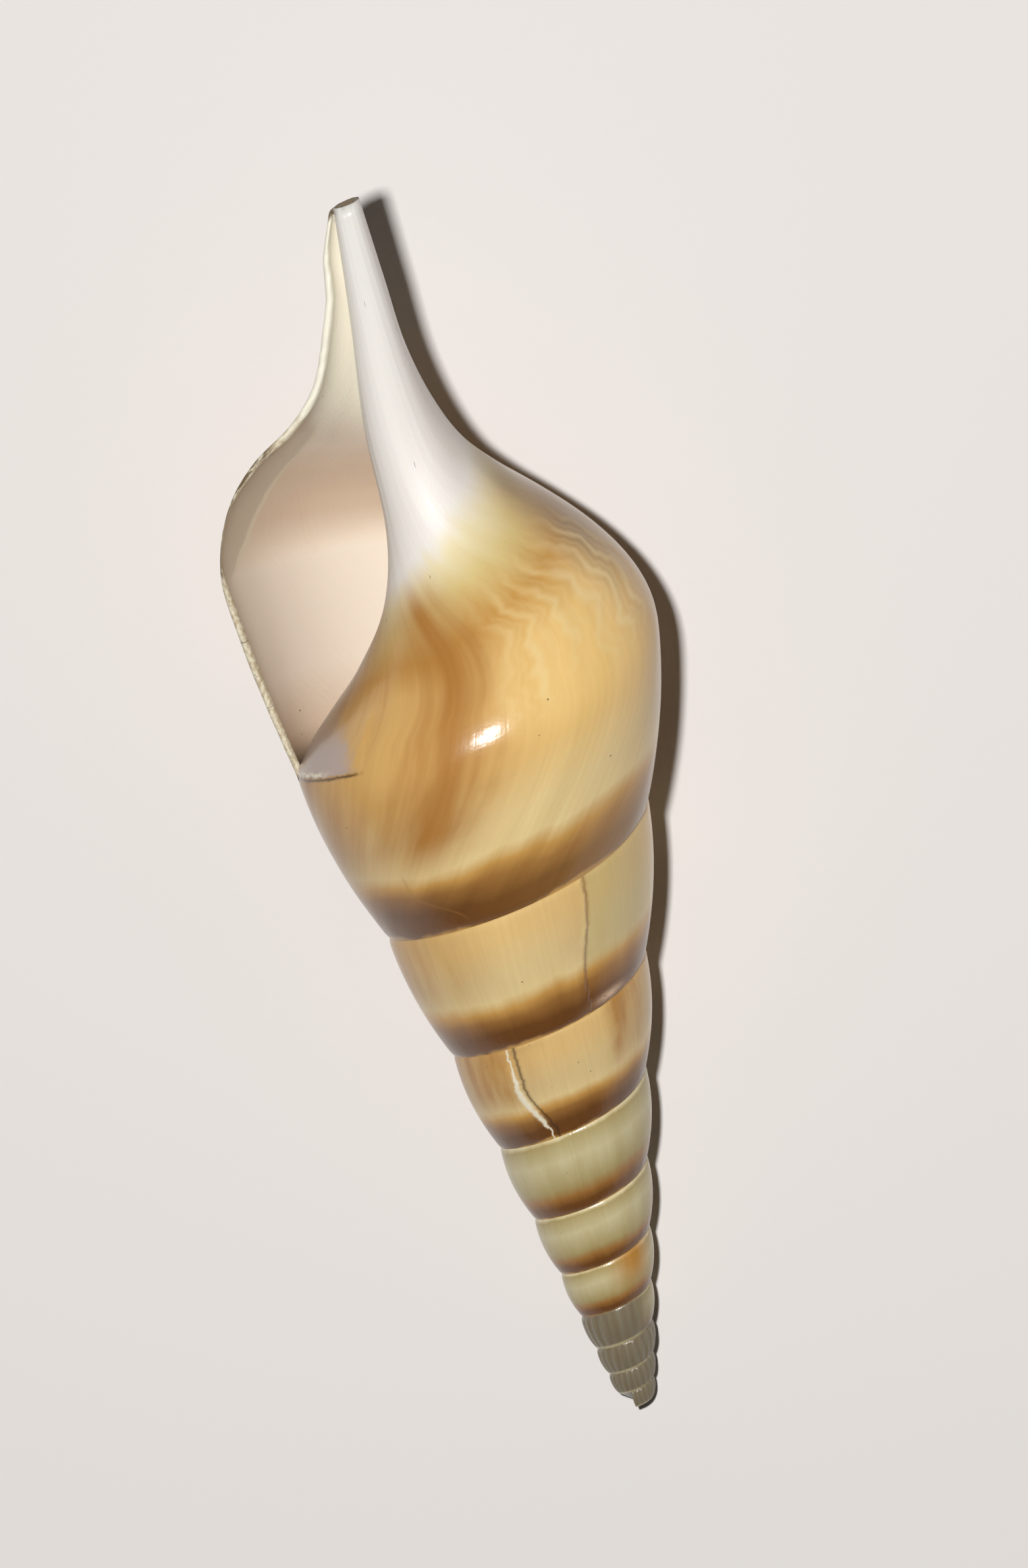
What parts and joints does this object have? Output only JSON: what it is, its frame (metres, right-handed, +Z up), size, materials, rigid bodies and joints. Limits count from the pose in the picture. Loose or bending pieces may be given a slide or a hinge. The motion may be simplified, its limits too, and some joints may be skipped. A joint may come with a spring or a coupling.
{
  "type": "tibia shell",
  "caption": "Slender spindle-shaped sea snail shell with a tall whorled spire, an open aperture and a long siphonal canal, lying aperture up.",
  "frame": {"origin": "centre of the shell's footprint box, on the surface it lies on", "axes": "+Y towards the tip of the siphonal canal, +Z up with the aperture facing up, outer lip at -X"},
  "size_m": [0.0386, 0.117, 0.035],
  "materials": {
    "enamel": "glossy caramel shell enamel with brown bands along the sutures, white towards the pillar and canal"
  },
  "bodies": {
    "root": {"shell": "enamel"}
  },
  "joints": []
}
